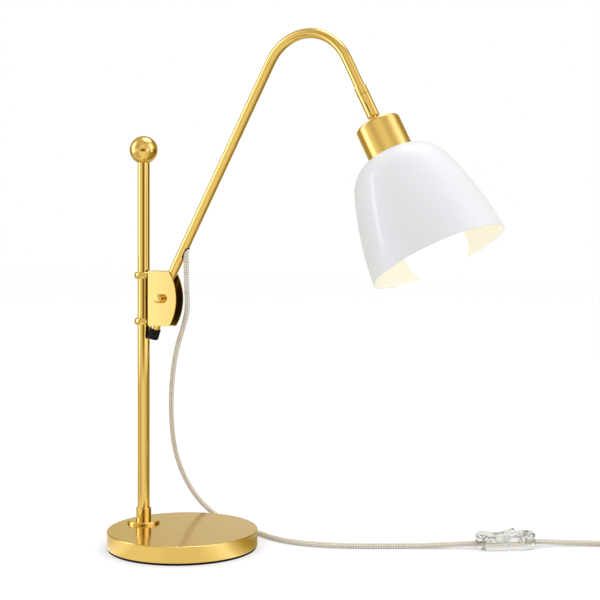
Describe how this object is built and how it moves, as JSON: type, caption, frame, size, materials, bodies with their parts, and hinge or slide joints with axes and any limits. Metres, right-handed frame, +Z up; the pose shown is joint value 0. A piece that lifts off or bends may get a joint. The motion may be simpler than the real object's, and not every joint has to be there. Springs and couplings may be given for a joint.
{
  "type": "table lamp",
  "caption": "Brass table lamp with a round base and upright rod; a bent arm with a white bell shade slides, swings and tilts on it, with a textile cord and in-line switch.",
  "frame": {"origin": "centre of the base's underside, on the table", "axes": "+Z up, +X from the rod towards the shade"},
  "size_m": [0.5552, 0.3484, 0.5319],
  "materials": {
    "polished_brass": "polished",
    "satin_brass": "satin",
    "white_enamel": "gloss",
    "black_rubber": "matte",
    "iron": "matte",
    "steel": "satin",
    "slide_plastic": "matte",
    "holder_plastic": "satin",
    "bulb_glass": "gloss",
    "bulb_metal": "satin",
    "textile": "matte",
    "clear_plastic": "gloss"
  },
  "bodies": {
    "stand": {"base_pad": "black_rubber", "base_weight": "iron", "base_cover": "satin_brass", "rod_washer": "steel", "rod_nut": "steel", "rod_nipple": "steel", "rod_collar": "polished_brass", "rod": "polished_brass", "finial_stud": "steel", "ball_finial": "polished_brass", "cord_drop": "textile", "cord_floor": "textile", "cord_lead": "textile", "cord_coil": "textile", "switch_base": "clear_plastic", "switch_cover": "clear_plastic", "switch_terminals": "polished_brass", "switch_screws": "steel", "coil_tie": "clear_plastic", "plug_relief": "clear_plastic", "plug_body": "clear_plastic", "plug_pins": "steel"},
    "slider": {"ring_liners": "slide_plastic"},
    "carriage": {"upper_ring": "polished_brass", "lower_ring": "polished_brass", "bracket": "polished_brass", "pivot_pin": "polished_brass", "pin_cap": "polished_brass"},
    "arm": {"arm_tube": "polished_brass", "pivot_barrel": "polished_brass", "arm_foot": "black_rubber", "cord_bushing": "black_rubber", "inner_cord": "textile", "end_sleeve": "polished_brass", "swivel_stud": "steel", "friction_washer": "slide_plastic", "stud_nut": "steel"},
    "socket": {"swivel_socket": "polished_brass"},
    "head": {"ball_stem": "polished_brass", "holder_nipple": "steel", "holder_cup": "satin_brass", "lampholder": "holder_plastic", "shade_ring": "holder_plastic", "screw_shell": "bulb_metal", "centre_contact": "steel", "shade": "white_enamel", "bulb_cap": "bulb_metal", "bulb_glass": "bulb_glass"},
    "rocker": {"switch_rocker": "clear_plastic"}
  },
  "joints": [
    {"name": "carriage_slide", "type": "slide", "parent": "stand", "child": "slider", "axis": [0, 0, 1], "range_m": [-0.178, 0.115], "deforming": ["cord_drop"]},
    {"name": "carriage_swivel", "type": "hinge", "parent": "slider", "child": "carriage", "pos_m": [-0.053, 0, 0.2594], "axis": [0, 0, 1], "range_deg": [-170, 170], "deforming": ["cord_drop"]},
    {"name": "arm_tilt", "type": "hinge", "parent": "carriage", "child": "arm", "pos_m": [-0.0246, 0, 0.26], "axis": [0, -1, 0], "range_deg": [0, 30], "deforming": ["cord_drop"]},
    {"name": "head_swivel", "type": "hinge", "parent": "arm", "child": "socket", "pos_m": [0.22124, 0, 0.46277], "axis": [0.4648, 0, -0.8854], "range_deg": [-170, 170]},
    {"name": "head_tilt", "type": "hinge", "parent": "socket", "child": "head", "pos_m": [0.23109, 0, 0.444], "axis": [0, -1, 0], "range_deg": [-25, 25]},
    {"name": "switch_rock", "type": "hinge", "parent": "stand", "child": "rocker", "pos_m": [0.2843, 0.1841, 0.01], "axis": [-0.6428, 0.766, 0], "range_deg": [0, 26]}
  ]
}
